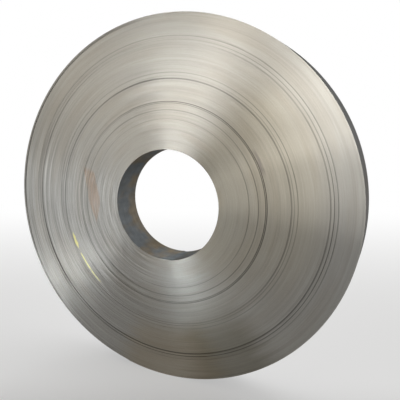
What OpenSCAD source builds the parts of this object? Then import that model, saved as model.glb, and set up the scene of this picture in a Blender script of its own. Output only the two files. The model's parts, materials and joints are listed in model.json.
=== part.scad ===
// Slit steel strip wound into a flat-ended coil that stands on its rim.
// The bore runs along Y, the near end faces -Y, and the rim touches the floor at the origin.
// Angles are seen from the near end: anticlockwise from +X, with +Z up.

/* [Strip] */
// Width of the strip, which is the depth of the coil from end to end
strip_w = 180; // [80:1:400]
// Thickness of the strip, which is the pitch of the turns
strip_t = 3; // [1:0.1:6]

/* [Winding] */
// Diameter of the bore, the size of the mandrel that the strip was wound on
bore_d = 508; // [400:1:762]
// Turns of strip between the bore and the rim
turns = 192; // [60:1:260]

/* [Slipped turns] */
// Furthest that turns slipped along the axis while they were wound
slip = 3; // [0.5:0.1:8]
// Turns at the rim that stand out of the near end
rim_turns = 3; // [2:1:8]

/* [Ends of the strip] */
// Angle at which the outer end of the strip lies on the rim
outer_end_a = 255; // [190:1:262]
// Arc over which the turn under the outer end comes up to the rim
outer_rise_a = 66; // [30:1:80]
// Angle at which the inner end of the strip lies in the bore
inner_end_a = 277; // [200:1:340]
// Arc over which the turn outside the inner end comes in to the bore
inner_rise_a = 60; // [30:1:80]

/* [Hidden] */
$fn = 180;

bore_r = bore_d / 2;
rim_r = bore_r + turns * strip_t;
near_z = strip_w / 2;

// Groups of turns that slipped back from the near end: first turn counted from the bore,
// number of turns, and share of the slip
SLIPPED = [
    [44, 1, 0.5], [57, 1, 0.6], [67, 1, 0.8], [69, 1, 1],
    [101, 2, 0.8], [105, 1, 0.4], [110, 1, 0.5],
    [150, 2, 1], [155, 1, 0.7], [160, 1, 0.5]
];
rim_start = turns - rim_turns;
groups = [for (g = SLIPPED) if (g[0] + g[1] < rim_start) g];

// Room that the cutting shapes have beyond the faces that they cut
over = strip_w;

// Inner radius of a turn, counted from the bore
function turn_r(n) = bore_r + n * strip_t;

// Outline of the near end from the bore to the rim
near_end = concat(
    [[bore_r, near_z]],
    [for (g = groups) each slipped_outline(g)],
    [
        [turn_r(rim_start), near_z],
        [turn_r(rim_start), near_z + slip],
        [rim_r, near_z + slip]
    ]
);

// The four corners that one slipped group adds to the outline of the near end
function slipped_outline(g) = [
    [turn_r(g[0]), near_z],
    [turn_r(g[0]), near_z - g[2] * slip],
    [turn_r(g[0] + g[1]), near_z - g[2] * slip],
    [turn_r(g[0] + g[1]), near_z]
];

// Every turn has the width of the strip, so the far end repeats the near one a width behind
far_end = [for (i = [len(near_end) - 1 : -1 : 0]) near_end[i] - [0, strip_w]];

module wound_turns() {
    rotate_extrude()
        polygon(concat(near_end, far_end));
}

// Wedge about the axis between two angles less than a half turn apart
module sector(from_a, to_a) {
    reach = 2 * rim_r;
    linear_extrude(strip_w + 2 * over, center = true)
        polygon([
            [0, 0],
            reach * [cos(from_a), sin(from_a)],
            reach * [cos((from_a + to_a) / 2), sin((from_a + to_a) / 2)],
            reach * [cos(to_a), sin(to_a)]
        ]);
}

// Round bar whose surface crosses the turns at one angle and has moved a strip's thickness
// across them, inwards or outwards, after the arc of the rise
module shifted_bar(r, cross_a, rise_a) {
    shift = strip_t / sin(rise_a);
    rotate(cross_a - 90)
        translate([shift, 0, 0])
            cylinder(h = strip_w + 4 * over, r = r, center = true);
}

// Space over the turn that lies bare beyond the outer end of the strip
module outer_gap() {
    cross_a = outer_end_a - outer_rise_a;
    difference() {
        sector(cross_a - 10, outer_end_a);
        shifted_bar(rim_r, cross_a, outer_rise_a);
    }
}

// Space inside the turn that lies bare beyond the inner end of the strip
module inner_gap() {
    cross_a = inner_end_a + inner_rise_a;
    intersection() {
        sector(inner_end_a, cross_a + 10);
        shifted_bar(bore_r, cross_a, inner_rise_a);
    }
}

module strip_coil() {
    color([0.64, 0.63, 0.6])
        translate([0, 0, rim_r])
            rotate([90, 0, 0])
                difference() {
                    wound_turns();
                    outer_gap();
                    inner_gap();
                }
}

strip_coil();
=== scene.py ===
import json
import math
import random
from collections import namedtuple

import bpy
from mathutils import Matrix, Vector, noise


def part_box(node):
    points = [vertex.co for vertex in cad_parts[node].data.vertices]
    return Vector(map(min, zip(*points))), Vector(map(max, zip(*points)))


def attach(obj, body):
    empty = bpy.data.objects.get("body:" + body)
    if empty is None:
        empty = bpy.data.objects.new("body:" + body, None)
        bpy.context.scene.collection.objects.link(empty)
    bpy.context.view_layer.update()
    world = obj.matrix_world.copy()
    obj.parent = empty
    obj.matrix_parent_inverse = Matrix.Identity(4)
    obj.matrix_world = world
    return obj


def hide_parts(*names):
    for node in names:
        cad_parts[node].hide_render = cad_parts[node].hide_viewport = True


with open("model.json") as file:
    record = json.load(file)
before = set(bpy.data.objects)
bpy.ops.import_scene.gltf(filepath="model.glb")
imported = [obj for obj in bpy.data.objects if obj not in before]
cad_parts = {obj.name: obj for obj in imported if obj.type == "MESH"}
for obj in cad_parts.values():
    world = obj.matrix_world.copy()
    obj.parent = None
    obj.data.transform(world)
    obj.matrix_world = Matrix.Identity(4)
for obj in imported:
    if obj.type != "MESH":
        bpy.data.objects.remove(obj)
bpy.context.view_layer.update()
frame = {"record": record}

# Sizes of the coil in metres, from the frame
BORE = next(m for m in frame["record"]["mounts"] if m["name"] == "bore")
AXIS_AT = Vector(BORE["pos_m"])
BORE_R = BORE["dims"]["r_mm"] / 1000
STRIP_W = BORE["dims"]["length_mm"] / 1000
BOX_LOW, BOX_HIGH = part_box("strip_coil")
RIM_R = min(AXIS_AT.z - BOX_LOW.z, BOX_HIGH.z - AXIS_AT.z, BOX_HIGH.x, -BOX_LOW.x)
SLIP = BOX_HIGH.y - STRIP_W / 2
NEAR_Y = AXIS_AT.y - STRIP_W / 2
FAR_Y = AXIS_AT.y + STRIP_W / 2

# The winding, as the part's own source has it
TURNS = 192
RIM_TURNS = 3
STRIP_T = (RIM_R - BORE_R) / TURNS

# Groups of turns that slipped back: first turn counted from the bore, number of turns, share of
# the slip, and the angle at which the group slipped furthest
Slipped = namedtuple("Slipped", "first count share furthest")
SLIPPED = [
    Slipped(44, 1, 0.5, 5),
    Slipped(57, 1, 0.6, 5),
    Slipped(67, 1, 0.8, 5),
    Slipped(69, 1, 1.0, 5),
    Slipped(101, 2, 0.8, 60),
    Slipped(105, 1, 0.4, 305),
    Slipped(110, 1, 0.5, 25),
    Slipped(150, 2, 1.0, 255),
    Slipped(155, 1, 0.7, 305),
    Slipped(160, 1, 0.5, 45),
]
RIM_FURTHEST = 150

# Share of its slip that a turn keeps on its way round: the mean, how far it waves about the mean,
# how far it leans to one side, and its limits
KEPT_MEAN = 0.65
KEPT_WAVE = 0.3
KEPT_LEAN = 0.3
KEPT_LEAST = 0.2
KEPT_MOST = 0.99

# The waves: their pace along the turns and across them, and where in the noise they begin
WAVES_ALONG = 1.5
WAVES_ACROSS = 60
WAVES_BEGIN = 20

# Single turns that stray from their neighbours: how far, and how many of them
STRAY = 0.0006
STRAY_SHARE = 0.55
STRAY_SEED = 7

# Ends of the strip in degrees, anticlockwise from +X as seen from the near end
OUTER_END = 255
OUTER_RISE = 66
INNER_END = 277
INNER_RISE = 60

# Step at each end of the strip, which stops a little short of the line of the next turn, and the
# depth over which faces count as the round walls, steps included
STEP = 0.97 * STRIP_T
WALL_DEPTH = 0.99 * STRIP_T

# Facets of the round in degrees: the plain ones, and the narrow ones that become the steps
FACET = 2
END_GAP = 0.1

# Sharpest bend in degrees that is shaded as a smooth round
SMOOTH_BEND = 30

# Colours of the steel, of its marks, of the painted shade in the bore and of the painted dark
# reflection; the tints multiply what they lie on
STEEL = (0.376, 0.367, 0.345, 1)
STAINED_STEEL = (0.35, 0.335, 0.306, 1)
RUST_TINT = (1.0, 0.84, 0.74, 1)
OIL_TINT = (1.0, 0.96, 0.87, 1)
BROWN_TINT = (1.0, 0.91, 0.77, 1)
# Tint of the painted dark reflection
DARK_REFLECTION_TINT = (0.65, 0.635, 0.585, 1)
MARKER_YELLOW = (0.7, 0.66, 0.28, 1)
SCUFF_GREY = (0.16, 0.14, 0.14, 1)
RIM_STEEL = (0.22, 0.22, 0.215, 1)
# The bore's steel is darker than the rim's as painted shade
SHADED_BORE_STEEL = (0.15, 0.16, 0.165, 1)
BROWN_SCALE = (0.19, 0.165, 0.13, 1)
FACE_SHEEN = (0.25, 0.25, 0.25, 1)

# Places of the marks, of the painted shade on the outermost edge and of the painted dark
# reflection. Arcs are in degrees, anticlockwise from -X as seen from the near end, and bands in
# shares of the rim's radius. Each has its start, its end and the softness of both
ROUGH_ARC = (-8, 60, 30)
# Arc of the painted shade on the outermost edge
SHADED_EDGE_ARC = (-70, -5, 20)
LEANING_EDGE_ARC = (5, 40, 14)
LOW_STAIN_ARC = (82, 104, 12)
# Arc of the painted dark reflection
DARK_REFLECTION_ARC = (108, 122, 14)
SCUFF_ARC = (-157, -150, 5)
SCUFF_BAND = (0.561, 0.574, 0.006)

# The low brown stain and the painted dark reflection beside it: how far their sides run to and fro in
# degrees, and how strong the brown stain is
STAIN_AND_REFLECTION_RAGGED = 14
LOW_STAIN_STRENGTH = 0.75

# The rust bloom: the radius of its middle line, which is least at one angle and bends outwards on
# both sides of it, half its width, and the angles over which it begins and narrows to a point
BLOOM_R = 0.46
BLOOM_LEAST_AT = 7
BLOOM_BEND = 0.0001
BLOOM_HALF = 0.045
BLOOM_BEGINS = (-21, -17)
BLOOM_NARROWS = (-1, 23)

# The marker stroke: its radius, half its width, its cover, and its dashes with a share of the width
STROKE_R = 0.664
STROKE_HALF = 0.018
STROKE_COVER = 0.85
STROKE_DASHES = [((22, 26, 4), 1.0), ((32, 40, 2), 0.55), ((43, 48, 4), 0.45)]

# The studio: the floor, the light from the front and from behind, and the tints of the lamps
FLOOR_SIZE = 60
FLOOR_GREY = (0.8, 0.8, 0.8, 1)
FRONT_GREY = (0.262, 0.25, 0.23, 1)
BEHIND_WHITE = (1, 1, 1, 1)
WARM = (1.0, 0.94, 0.82)
STRAW = (1.0, 0.96, 0.88)
CREAM = (1.0, 0.98, 0.93)
WHITE = (1.0, 1.0, 1.0)
COOL = (0.93, 0.97, 1.0)
BLUE = (0.86, 0.95, 1.0)

# The camera: its place and the direction in which it looks
CAMERA_AT = (0.9265, -2.0554, 1.2076)
CAMERA_LOOKS = (-0.4653, 0.8657, -0.1847)

# What the materials know of a point on the winding, and of a point on an end of the coil: reach is
# its share of the rim's radius, rightward the cosine of its angle, and height is above the axis
Winding = namedtuple("Winding", "axes outward radius turns_out")
EndPlace = namedtuple("EndPlace", "outward turns_out turn reach angle rightward height near rough")


def slipped_turns(group):
    """The turns of a slipped group, counted from the bore."""
    return range(group.first, group.first + group.count)


def turn_slips():
    """How far each turn sits back from the near end, from the bore to the rim."""
    rng = random.Random(STRAY_SEED)
    slips = []
    stray = 0.0
    for _ in range(TURNS):
        if rng.random() < STRAY_SHARE:
            stray = rng.uniform(0, STRAY)
        slips.append(stray)
    for group in SLIPPED:
        for turn in slipped_turns(group):
            slips[turn] = group.share * SLIP
    for turn in range(TURNS - RIM_TURNS, TURNS):
        slips[turn] = -SLIP
    return slips


def on_coil(r, y, degrees):
    """A point at a radius and an angle about the bore."""
    a = math.radians(degrees)
    return Vector((r * math.cos(a), y, AXIS_AT.z + r * math.sin(a)))


def section_outline(degrees):
    """Corners of the coil's section, round the near end, the rim and the far end."""
    near = []
    for turn, slip in enumerate(turn_slips()):
        y = NEAR_Y + slip
        inner = BORE_R + turn * STRIP_T
        outer = BORE_R + (turn + 1) * STRIP_T
        if near and near[-1][1] == y:
            near[-1] = (outer, y)
        else:
            near += [(inner, y), (outer, y)]
    far = [(r, y + STRIP_W) for r, y in reversed(near)]
    return [on_coil(r, y, degrees) for r, y in near + far]


def draw_section(outline):
    """Draws the section corner by corner, from a small plane merged into its first corner."""
    bpy.ops.object.select_all(action="DESELECT")
    bpy.ops.mesh.primitive_plane_add(size=STRIP_T, location=outline[0])
    bpy.ops.object.transform_apply(location=True)
    bpy.ops.object.mode_set(mode="EDIT")
    bpy.ops.mesh.select_mode(type="VERT")
    bpy.ops.mesh.merge(type="CENTER")
    for here, there in zip(outline, outline[1:] + outline[:1]):
        bpy.ops.mesh.extrude_region_move(TRANSFORM_OT_translate={"value": there - here})
    bpy.ops.mesh.select_all(action="SELECT")
    bpy.ops.mesh.remove_doubles(threshold=1e-6)


def spin_section(degrees, steps):
    """Turns the selected section about the bore, anticlockwise as seen from the near end."""
    bpy.ops.mesh.spin(steps=steps, angle=math.radians(degrees), center=AXIS_AT, axis=(0, -1, 0))


def wind_coil():
    """The wound strip: its section spun about the bore, with a narrow facet at each end of the strip."""
    draw_section(section_outline(INNER_END))
    coil = bpy.context.object
    coil.name = "wound_strip"
    bpy.ops.mesh.select_all(action="SELECT")
    to_outer_end = 360 + OUTER_END - INNER_END
    spin_section(to_outer_end, to_outer_end // FACET)
    spin_section(END_GAP, 1)
    to_inner_end = INNER_END - OUTER_END - 2 * END_GAP
    spin_section(to_inner_end, round(to_inner_end / FACET))
    spin_section(END_GAP, 1)
    bpy.ops.mesh.select_all(action="SELECT")
    bpy.ops.mesh.remove_doubles(threshold=1e-5)
    bpy.ops.mesh.normals_make_consistent(inside=False)
    bpy.ops.object.mode_set(mode="OBJECT")
    return coil


def radius_of(place):
    """Distance of a point from the axis of the bore."""
    return math.hypot(place.x, place.z - AXIS_AT.z)


def angle_of(place):
    """Angle of a point about the bore in degrees, from 0 to 360."""
    return math.degrees(math.atan2(place.z - AXIS_AT.z, place.x)) % 360


def end_level(place):
    """Where the flat of the end that is nearer to a point lies along the axis."""
    return NEAR_Y if place.y < AXIS_AT.y else FAR_Y


def rise_share(degrees, rise):
    """Share of the step that the bare turn has moved across at an angle of the rise."""
    return math.sin(math.radians(degrees)) / math.sin(math.radians(rise))


def furthest_angles():
    """Angle of the furthest slip for each line between two turns, for the lines of slipped groups."""
    angles = {line: RIM_FURTHEST for line in range(TURNS - RIM_TURNS, TURNS + 1)}
    for group in SLIPPED:
        for line in range(group.first, group.first + group.count + 1):
            angles[line] = group.furthest
    return angles


def kept_slip(place, furthest):
    """Share of its slip that a turn keeps at a point."""
    out = Vector((place.x, 0, place.z - AXIS_AT.z))
    r = out.length
    out.normalize()
    line = round((r - BORE_R) / STRIP_T)
    spot = Vector((WAVES_ALONG * out.x, WAVES_ALONG * out.z, WAVES_ACROSS * r + WAVES_BEGIN))
    share = KEPT_MEAN + KEPT_WAVE * noise.noise(spot)
    if line in furthest:
        share += KEPT_LEAN * math.cos(math.radians(angle_of(place) - furthest[line]))
    return min(KEPT_MOST, max(KEPT_LEAST, share))


def lay_turns(coil):
    """Lets the slips wander along the turns, and steps the rim and the bore at the strip's ends."""
    furthest = furthest_angles()
    for corner in coil.data.vertices:
        place = corner.co
        level = end_level(place)
        place.y = level + (place.y - level) * kept_slip(place, furthest)
        r = radius_of(place)
        past_outer = angle_of(place) - (OUTER_END - OUTER_RISE)
        past_inner = INNER_END + INNER_RISE - angle_of(place)
        moved = r
        if r > RIM_R - STRIP_T / 4 and 0 < past_outer < OUTER_RISE + END_GAP / 2:
            moved = RIM_R - STEP * rise_share(past_outer, OUTER_RISE)
        if r < BORE_R + STRIP_T / 4 and 0 < past_inner < INNER_RISE + END_GAP / 2:
            moved = BORE_R + STEP * rise_share(past_inner, INNER_RISE)
        place.x *= moved / r
        place.z = AXIS_AT.z + (place.z - AXIS_AT.z) * moved / r


def mark_set_back(coil):
    """Keeps on each face how far its turn sits back, for the painted shade in the gaps, which is lighter
    in a wide gap.
    """
    gap = {turn: group.count for group in SLIPPED for turn in slipped_turns(group)}
    set_back = coil.data.attributes.new("set_back", "FLOAT", "FACE")
    for face in coil.data.polygons:
        place = face.center
        level = end_level(place)
        inwards = 1 if level == NEAR_Y else -1
        share = min(1.0, max(0.0, (place.y - level) * inwards / SLIP))
        turn = int((radius_of(place) - BORE_R) / STRIP_T)
        set_back.data[face.index].value = share / math.sqrt(gap.get(turn, 1))


def node(tree, kind, **settings):
    """A new node with its settings."""
    made = tree.nodes.new(kind)
    for name, value in settings.items():
        setattr(made, name, value)
    return made


def feed(tree, socket, value):
    """Sets an input to a value, or links it to an output."""
    if isinstance(value, bpy.types.NodeSocket):
        tree.links.new(value, socket)
    else:
        socket.default_value = value


def calc(tree, operation, *values):
    """A Math node on values or outputs."""
    made = node(tree, "ShaderNodeMath", operation=operation)
    for socket, value in zip(made.inputs, values):
        feed(tree, socket, value)
    return made.outputs[0]


def product(tree, first, *others):
    """Values or outputs multiplied together."""
    result = first
    for other in others:
        result = calc(tree, "MULTIPLY", result, other)
    return result


def apart(tree, value, other):
    """How far two values lie from each other."""
    return calc(tree, "ABSOLUTE", calc(tree, "SUBTRACT", value, other))


def vector(tree, operation, *values):
    """A Vector Math node, whose result is its value for a length and its vector otherwise."""
    made = node(tree, "ShaderNodeVectorMath", operation=operation)
    for socket, value in zip(made.inputs, values):
        feed(tree, socket, value)
    return made.outputs["Value" if operation == "LENGTH" else "Vector"]


def scaled(tree, value, factor):
    """A vector times a number or an output."""
    made = node(tree, "ShaderNodeVectorMath", operation="SCALE")
    feed(tree, made.inputs[0], value)
    feed(tree, made.inputs["Scale"], factor)
    return made.outputs["Vector"]


def axes_of(tree, value):
    """The X, Y and Z of a vector, as outputs."""
    made = node(tree, "ShaderNodeSeparateXYZ")
    feed(tree, made.inputs[0], value)
    return made.outputs


def span(tree, value, start, end, low=0.0, high=1.0, kind="SMOOTHSTEP"):
    """Carries a value from one span to another, held at its ends."""
    made = node(tree, "ShaderNodeMapRange", interpolation_type=kind)
    feed(tree, made.inputs["Value"], value)
    made.inputs["From Min"].default_value = start
    made.inputs["From Max"].default_value = end
    made.inputs["To Min"].default_value = low
    made.inputs["To Max"].default_value = high
    return made.outputs["Result"]


def between(tree, value, start, end, soft):
    """1 between two values, fading to 0 over a soft edge outside them."""
    rising = span(tree, value, start - soft, start)
    falling = span(tree, value, end, end + soft, low=1.0, high=0.0)
    return product(tree, rising, falling)


def blend(tree, factor, under, over, kind="MIX"):
    """Lays one colour over another."""
    made = node(tree, "ShaderNodeMix", data_type="RGBA", blend_type=kind)
    feed(tree, made.inputs["Factor"], factor)
    feed(tree, made.inputs["A"], under)
    feed(tree, made.inputs["B"], over)
    return made.outputs["Result"]


def tinted(tree, mask, colour, tint):
    """A colour with a tint over it where a mask is 1."""
    return blend(tree, mask, colour, tint, "MULTIPLY")


def toned(tree, colour, tone):
    """A colour made lighter or darker by a tone, which is 1 where the colour stays."""
    grey = node(tree, "ShaderNodeCombineColor")
    for name in ("Red", "Green", "Blue"):
        feed(tree, grey.inputs[name], tone)
    return tinted(tree, 1.0, colour, grey.outputs[0])


def cloud(tree, spot, detail):
    """Noise from about 0.2 to 0.8 at a place."""
    made = node(tree, "ShaderNodeTexNoise")
    feed(tree, made.inputs["Vector"], spot)
    made.inputs["Scale"].default_value = 1.0
    made.inputs["Detail"].default_value = detail
    return made.outputs["Fac"]


def strip_grain():
    """Group for both finishes: a value about 1 that follows the steel's own lines."""
    group = bpy.data.node_groups.new("strip grain", "ShaderNodeTree")
    group.interface.new_socket("Lines", in_out="INPUT", socket_type="NodeSocketVector")
    group.interface.new_socket("Contrast", in_out="INPUT", socket_type="NodeSocketFloat")
    group.interface.new_socket("Grain", in_out="OUTPUT", socket_type="NodeSocketFloat")
    given = node(group, "NodeGroupInput")
    result = node(group, "NodeGroupOutput")
    lines = cloud(group, given.outputs["Lines"], detail=3.0)
    swing = product(group, calc(group, "SUBTRACT", lines, 0.5), given.outputs["Contrast"])
    feed(group, result.inputs["Grain"], calc(group, "ADD", swing, 1.0))
    return group


def grain(tree, group, lines, contrast):
    """The strip grain, placed with its own lines and contrast."""
    made = node(tree, "ShaderNodeGroup", node_tree=group)
    feed(tree, made.inputs["Lines"], lines)
    feed(tree, made.inputs["Contrast"], contrast)
    return made.outputs["Grain"]


def new_material(name):
    """A material, its node tree and its Principled shader."""
    mat = bpy.data.materials.new(name)
    mat.use_nodes = True
    return mat, mat.node_tree, mat.node_tree.nodes["Principled BSDF"]


def winding_place(tree):
    """Where a point lies on the winding: from the middle of the bore, outwards, and in turns."""
    place = node(tree, "ShaderNodeTexCoord")
    from_axis = vector(tree, "SUBTRACT", place.outputs["Object"], AXIS_AT)
    flat = vector(tree, "MULTIPLY", from_axis, (1, 0, 1))
    radius = vector(tree, "LENGTH", flat)
    outward = vector(tree, "NORMALIZE", flat)
    turns_out = calc(tree, "DIVIDE", calc(tree, "SUBTRACT", radius, BORE_R), STRIP_T)
    return Winding(axes_of(tree, from_axis), outward, radius, turns_out)


def laid_out(tree, outward, along, across, pace):
    """The winding as lines: slow along a turn, and at its own pace across the turns."""
    made = node(tree, "ShaderNodeCombineXYZ")
    feed(tree, made.inputs["Y"], product(tree, across, pace))
    return vector(tree, "ADD", scaled(tree, outward, along), made.outputs[0])


def end_place(tree):
    """Where a point lies on an end of the coil, with the two masks that the marks share."""
    winding = winding_place(tree)
    # The angle is counted anticlockwise from -X, so that the marks clear its seam
    left = product(tree, winding.axes["X"], -1.0)
    down = product(tree, winding.axes["Z"], -1.0)
    angle = product(tree, calc(tree, "ARCTAN2", down, left), 180 / math.pi)
    near = calc(tree, "LESS_THAN", winding.axes["Y"], 0.0)
    return EndPlace(
        outward=winding.outward,
        turns_out=winding.turns_out,
        turn=calc(tree, "FLOOR", winding.turns_out),
        reach=calc(tree, "DIVIDE", winding.radius, RIM_R),
        angle=angle,
        rightward=calc(tree, "DIVIDE", winding.axes["X"], winding.radius),
        height=winding.axes["Z"],
        near=near,
        # The turns lie rough at the left and lower left of the near end and smooth elsewhere
        rough=product(tree, between(tree, angle, *ROUGH_ARC), near),
    )


def turn_lines(tree, at, along, pace, detail):
    """Noise drawn out along the turns."""
    return cloud(tree, laid_out(tree, at.outward, along, at.turns_out, pace), detail)


def by_roughness(tree, at, smooth, rough):
    """A value for the smooth turns that changes to another where the turns lie rough."""
    return span(tree, at.rough, 0, 1, low=smooth, high=rough)


def single_turns(tree, group, at):
    """Tone of single turns, which differ most where they lie rough."""
    contrast = by_roughness(tree, at, smooth=0.24, rough=0.85)
    lines = laid_out(tree, at.outward, along=2.2, across=at.turn, pace=5.3)
    return grain(tree, group, lines, contrast)


def bundled_turns(tree, group, at):
    """Tone of bundles of turns, and of the slit edge's own fine lines."""
    contrast = by_roughness(tree, at, smooth=0.2, rough=0.85)
    bundles = laid_out(tree, at.outward, along=1.6, across=at.turns_out, pace=0.5)
    fine = laid_out(tree, at.outward, along=30, across=at.turns_out, pace=2.7)
    return product(tree, grain(tree, group, bundles, contrast), grain(tree, group, fine, contrast=0.15))


def hairlines(tree, at):
    """Tone of the hairlines of shadow between the turns."""
    from_middle = apart(tree, calc(tree, "FRACT", at.turns_out), 0.5)
    depth = by_roughness(tree, at, smooth=0.28, rough=0.45)
    return calc(tree, "SUBTRACT", 1.0, product(tree, span(tree, from_middle, 0.4, 0.5), depth))


def painted_gap_and_edge_shade(tree, at):
    """Painted shade where turns sit back, and on the outermost edge at the upper left."""
    set_back = node(tree, "ShaderNodeAttribute", attribute_name="set_back")
    # Painted shade in the gaps where turns sit back, lighter in a wide gap
    in_gaps = span(tree, set_back.outputs["Fac"], 0.08, 0.9, low=1.0, high=0.25, kind="LINEAR")
    # Painted shade on the outermost edge at the upper left
    outermost = span(tree, at.reach, 0.98, 0.99, low=0.0, high=0.3)
    on_edge = product(tree, outermost, between(tree, at.angle, *SHADED_EDGE_ARC), at.near)
    return product(tree, in_gaps, calc(tree, "SUBTRACT", 1.0, on_edge))


def stained_steel(tree, at):
    """Bare steel with soft stains, a little browner than the clean steel."""
    stained = span(tree, turn_lines(tree, at, along=1.6, pace=0.05, detail=2.0), 0.42, 0.72)
    return blend(tree, stained, STEEL, STAINED_STEEL)


def oil_film(tree, at, colour):
    """Thin film of old oil at the right of the bore, which yellows the steel."""
    on_right = span(tree, at.rightward, 0.42, 0.74)
    not_low = span(tree, at.height, -0.45, -0.1)
    inner = span(tree, at.reach, 0.7, 0.95, low=1.0, high=0.0)
    return tinted(tree, product(tree, on_right, not_low, inner, at.near), colour, OIL_TINT)


def low_stain_and_dark_reflection(tree, at, colour):
    """Faint brown stain low on the near end, which ends at the rim, and a painted dark reflection to its
    right.
    """
    to_and_fro = calc(tree, "SUBTRACT", turn_lines(tree, at, along=1.2, pace=0.12, detail=3.0), 0.5)
    ragged = calc(tree, "ADD", at.angle, product(tree, to_and_fro, STAIN_AND_REFLECTION_RAGGED))
    brown = product(tree, between(tree, ragged, *LOW_STAIN_ARC), span(tree, at.reach, 0.62, 0.8))
    brown = product(tree, brown, at.near, LOW_STAIN_STRENGTH)
    colour = tinted(tree, brown, colour, BROWN_TINT)
    # Painted dark reflection: the steel darkened to the right of the brown stain
    dark_reflection = product(tree, between(tree, ragged, *DARK_REFLECTION_ARC), span(tree, at.reach, 0.5, 0.85), at.near)
    return tinted(tree, dark_reflection, colour, DARK_REFLECTION_TINT)


def rust_bloom(tree, at, colour):
    """Thin rust bloom at the left of the bore, which narrows downwards to a point."""
    bend = calc(tree, "POWER", calc(tree, "SUBTRACT", at.angle, BLOOM_LEAST_AT), 2.0)
    middle = calc(tree, "ADD", product(tree, bend, BLOOM_BEND), BLOOM_R)
    half = span(tree, at.angle, *BLOOM_NARROWS, low=BLOOM_HALF, high=0.0)
    inside = span(tree, calc(tree, "SUBTRACT", half, apart(tree, at.reach, middle)), 0.0, 0.014)
    begun = span(tree, at.angle, *BLOOM_BEGINS)
    lines = turn_lines(tree, at, along=5, pace=0.45, detail=2.0)
    lines = span(tree, lines, 0.35, 0.6, low=0.5, high=1.1)
    return tinted(tree, product(tree, inside, begun, lines, at.near), colour, RUST_TINT)


def marker_stroke(tree, at, colour):
    """Stroke of yellow marker along one turn, which breaks into dashes and fades downwards."""
    width = 0.0
    for arc, share in STROKE_DASHES:
        width = calc(tree, "ADD", width, product(tree, between(tree, at.angle, *arc), share))
    uneven = turn_lines(tree, at, along=20, pace=0.3, detail=2.0)
    half = product(tree, uneven, width, STROKE_HALF)
    inside = span(tree, calc(tree, "SUBTRACT", half, apart(tree, at.reach, STROKE_R)), 0.0, 0.003)
    return blend(tree, product(tree, inside, at.near, STROKE_COVER), colour, MARKER_YELLOW)


def scuff(tree, at, colour):
    """Soft scuff beside a slipped group on the right."""
    place = product(tree, between(tree, at.reach, *SCUFF_BAND), between(tree, at.angle, *SCUFF_ARC))
    cover = turn_lines(tree, at, along=9, pace=0.9, detail=1.0)
    cover = span(tree, cover, 0.3, 0.6, low=0.1, high=0.6)
    return blend(tree, product(tree, place, cover, at.near), colour, SCUFF_GREY)


def leaning_edges(tree, at):
    """Normals of the turns' edges, which lean a little so that the light breaks up into lines."""
    # Along the winding, by single turns and by bundles of them
    along = vector(tree, "CROSS_PRODUCT", at.outward, (0, 1, 0))
    single = cloud(tree, laid_out(tree, at.outward, along=2.4, across=at.turn, pace=3.7), detail=2.0)
    single = calc(tree, "SUBTRACT", single, 0.5)
    bundle = calc(tree, "SUBTRACT", turn_lines(tree, at, along=2.0, pace=0.35, detail=1.0), 0.5)
    strength = by_roughness(tree, at, smooth=0.06, rough=0.11)
    lean = product(tree, calc(tree, "ADD", single, bundle), strength)
    # Inwards, on the outermost turns at the left
    outermost = span(tree, at.reach, 0.94, 0.985, low=0.0, high=-0.1)
    rim_lean = product(tree, outermost, between(tree, at.angle, *LEANING_EDGE_ARC))
    surface = node(tree, "ShaderNodeNewGeometry")
    leaning = vector(tree, "ADD", surface.outputs["Normal"], scaled(tree, along, lean))
    leaning = vector(tree, "ADD", leaning, scaled(tree, at.outward, rim_lean))
    return vector(tree, "NORMALIZE", leaning)


def strip_edge_material(group):
    """The slit edges of the strip, ring on ring, with the marks of handling, painted shade and a painted
    dark reflection.
    """
    mat, tree, shader = new_material("strip edges")
    at = end_place(tree)
    single = single_turns(tree, group, at)
    bundled = bundled_turns(tree, group, at)
    tone = product(tree, single, bundled, hairlines(tree, at), painted_gap_and_edge_shade(tree, at))
    colour = toned(tree, stained_steel(tree, at), tone)
    for mark in (oil_film, low_stain_and_dark_reflection, rust_bloom, marker_stroke, scuff):
        colour = mark(tree, at, colour)
    roughness = span(tree, single, 0.85, 1.15, low=0.41, high=0.35, kind="LINEAR")
    feed(tree, shader.inputs["Base Color"], colour)
    feed(tree, shader.inputs["Normal"], leaning_edges(tree, at))
    feed(tree, shader.inputs["Roughness"], roughness)
    # The fine lines along the turns draw the light out across them
    tangent = node(tree, "ShaderNodeTangent", direction_type="RADIAL", axis="Y")
    feed(tree, shader.inputs["Tangent"], tangent.outputs[0])
    shader.inputs["Metallic"].default_value = 1.0
    shader.inputs["Anisotropic"].default_value = 0.96
    shader.inputs["Anisotropic Rotation"].default_value = 0.25
    return mat


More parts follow.
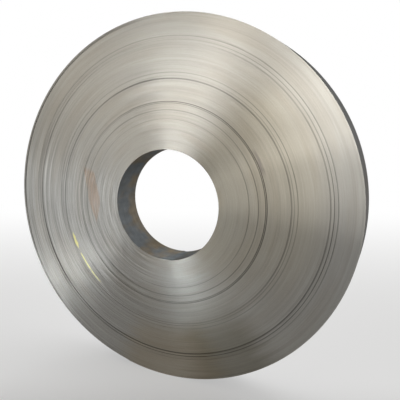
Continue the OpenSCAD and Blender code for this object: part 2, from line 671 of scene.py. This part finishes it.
def strip_face_material(group):
    """The flat of the strip, which shows on the rim and in the bore, where its darker colour is painted
    shade.
    """
    mat, tree, shader = new_material("strip face")
    winding = winding_place(tree)
    outward = winding.outward
    across = winding.axes["Y"]
    rolled = laid_out(tree, outward, along=1.8, across=across, pace=160)
    rolled = grain(tree, group, rolled, contrast=0.5)
    mottled = laid_out(tree, outward, along=9, across=across, pace=22)
    mottled = grain(tree, group, mottled, contrast=0.5)
    in_bore = calc(tree, "LESS_THAN", winding.turns_out, TURNS / 2)
    # Painted shade: the bore's steel is darker than the rim's
    unstained_with_bore_shade = blend(tree, in_bore, RIM_STEEL, SHADED_BORE_STEEL)
    # Brown patches, strongest towards the far end of the bore and faint on the rim
    stain = cloud(tree, laid_out(tree, outward, along=3.2, across=across, pace=7), detail=3.0)
    deep = product(tree, span(tree, across, -0.02, 0.07, low=0.0, high=0.14), in_bore)
    patches = span(tree, calc(tree, "ADD", stain, deep), 0.45, 0.7)
    patches = product(tree, patches, span(tree, in_bore, 0, 1, low=0.35, high=1.0))
    colour = blend(tree, patches, unstained_with_bore_shade, BROWN_SCALE)
    roughness = span(tree, mottled, 0.8, 1.2, low=0.52, high=0.42, kind="LINEAR")
    feed(tree, shader.inputs["Base Color"], toned(tree, colour, product(tree, rolled, mottled)))
    feed(tree, shader.inputs["Roughness"], roughness)
    shader.inputs["Metallic"].default_value = 1.0
    shader.inputs["Specular Tint"].default_value = FACE_SHEEN
    return mat


def is_round_wall(face):
    """Whether a face is part of the rim or of the wall of the bore, with the steps in them."""
    r = radius_of(face.center)
    at_bore_or_rim = r < BORE_R + WALL_DEPTH or r > RIM_R - WALL_DEPTH
    mid_width = abs(face.center.y - AXIS_AT.y) < STRIP_W / 4
    return at_bore_or_rim and mid_width and abs(face.normal.y) < 0.5


def dress(coil):
    """Gives the ends and the two round walls their finishes."""
    group = strip_grain()
    coil.data.materials.append(strip_edge_material(group))
    coil.data.materials.append(strip_face_material(group))
    for face in coil.data.polygons:
        face.material_index = 1 if is_round_wall(face) else 0
    bpy.ops.object.select_all(action="DESELECT")
    coil.select_set(True)
    bpy.context.view_layer.objects.active = coil
    bpy.ops.object.shade_smooth_by_angle(angle=math.radians(SMOOTH_BEND))


def floor_material():
    """Pale floor that keeps its shadows near the coil and fades into the white behind it."""
    mat, tree, shader = new_material("floor")
    shader.inputs["Base Color"].default_value = FLOOR_GREY
    shader.inputs["Roughness"].default_value = 0.9
    shader.inputs["Specular IOR Level"].default_value = 0.1
    axes = axes_of(tree, node(tree, "ShaderNodeTexCoord").outputs["Object"])
    behind = calc(tree, "ADD", product(tree, axes["X"], -0.5), axes["Y"])
    beside_coil = span(tree, behind, -0.9, -0.1, low=0.0, high=0.42)
    beyond_coil = span(tree, behind, 0.0, 5.0, low=0.0, high=0.58)
    path = node(tree, "ShaderNodeLightPath").outputs
    seen = calc(tree, "MAXIMUM", path["Is Camera Ray"], path["Is Glossy Ray"])
    seen = calc(tree, "MAXIMUM", seen, path["Is Transmission Ray"])
    white = node(tree, "ShaderNodeEmission")
    mixed = node(tree, "ShaderNodeMixShader")
    feed(tree, mixed.inputs[0], product(tree, calc(tree, "ADD", beside_coil, beyond_coil), seen))
    feed(tree, mixed.inputs[1], shader.outputs[0])
    feed(tree, mixed.inputs[2], white.outputs[0])
    feed(tree, tree.nodes["Material Output"].inputs["Surface"], mixed.outputs[0])
    return mat


def set_floor():
    """The floor that the coil stands on."""
    bpy.ops.object.select_all(action="DESELECT")
    bpy.ops.mesh.primitive_plane_add(size=FLOOR_SIZE)
    floor = bpy.context.object
    floor.name = "floor"
    floor.data.materials.append(floor_material())


def light_surroundings():
    """Light from all round, grey from the front and white from behind."""
    world = bpy.data.worlds.new("studio")
    bpy.context.scene.world = world
    world.use_nodes = True
    tree = world.node_tree
    axes = axes_of(tree, node(tree, "ShaderNodeTexCoord").outputs["Generated"])
    shade = blend(tree, span(tree, axes["Y"], -0.3, 0.4), FRONT_GREY, BEHIND_WHITE)
    feed(tree, tree.nodes["Background"].inputs["Color"], shade)


def soft_lamp(name, at, aim, size, watts, grid, tint):
    """A square lamp with a grid that keeps its light to an angle. It is aimed at a point of the near
    end, given as so far to the right of the bore's axis and so far above it."""
    data = bpy.data.lights.new(name, "AREA")
    data.size = size
    data.energy = watts
    data.spread = math.radians(grid)
    data.color = tint
    lamp = bpy.data.objects.new(name, data)
    lamp.location = at
    target = Vector((aim[0], NEAR_Y, AXIS_AT.z + aim[1]))
    lamp.rotation_euler = (target - Vector(at)).to_track_quat("-Z", "Y").to_euler()
    lamp.visible_camera = False
    bpy.context.collection.objects.link(lamp)


def place_lamps():
    """The lamps, most of which draw a streak across the rings of the near end."""
    soft_lamp("left low fill", (-1.67, -1.56, 0.45), (-0.12, 0.03), 0.72, 1.14, 110, COOL)
    soft_lamp("left middle", (-1.25, -1.75, 0.75), (-0.3, 0), 0.5, 0.105, 50, COOL)
    soft_lamp("left low middle", (-1.25, -1.75, 0.36), (-0.2, -0.08), 0.5, 0.014, 20, COOL)
    soft_lamp("left soft box", (-1.76, -1.64, 1.43), (-0.34, 0.18), 1.39, 0.84, 50, WARM)
    soft_lamp("upper streak", (-0.88, -2.18, 1.16), (-0.28, 0.6), 0.25, 0.97, 58, CREAM)
    soft_lamp("top soft box", (0.18, -1.69, 1.93), (0.59, 0.6), 1.1, 0.92, 50, STRAW)
    soft_lamp("upper right", (0.95, -0.95, 1.51), (0.6, 0.6), 0.72, 1.85, 76, CREAM)
    soft_lamp("upper right edge", (0.45, -1.48, 1.6), (0.63, 0.6), 0.45, 0.042, 14, CREAM)
    soft_lamp("right", (1.27, -0.86, 0.88), (0.6, -0.06), 0.68, 0.76, 50, CREAM)
    soft_lamp("bore glint", (-0.82, -1.36, 1.0), (0.09, -0.32), 0.12, 0.086, 24, BLUE)
    soft_lamp("lower left streak", (-0.82, -1.17, 0.37), (-0.7, -0.42), 0.12, 0.2, 60, COOL)
    soft_lamp("back", (-0.9, 2.0, 1.75), (0.1, 0.1), 0.6, 1.8, 90, WHITE)


def set_camera():
    """The camera that sees the coil as the photograph does."""
    data = bpy.data.cameras.new("photo")
    camera = bpy.data.objects.new("photo", data)
    bpy.context.collection.objects.link(camera)
    camera.location = CAMERA_AT
    camera.rotation_euler = Vector(CAMERA_LOOKS).to_track_quat("-Z", "Y").to_euler()
    data.sensor_width = 36
    data.lens = 43.56
    data.shift_x = 0.15
    data.shift_y = 0.03
    bpy.context.scene.camera = camera


set_camera()
coil = wind_coil()
lay_turns(coil)
mark_set_back(coil)
dress(coil)
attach(coil, "root")
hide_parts("strip_coil")
set_floor()
light_surroundings()
place_lamps()
bpy.context.scene.view_settings.view_transform = "Standard"
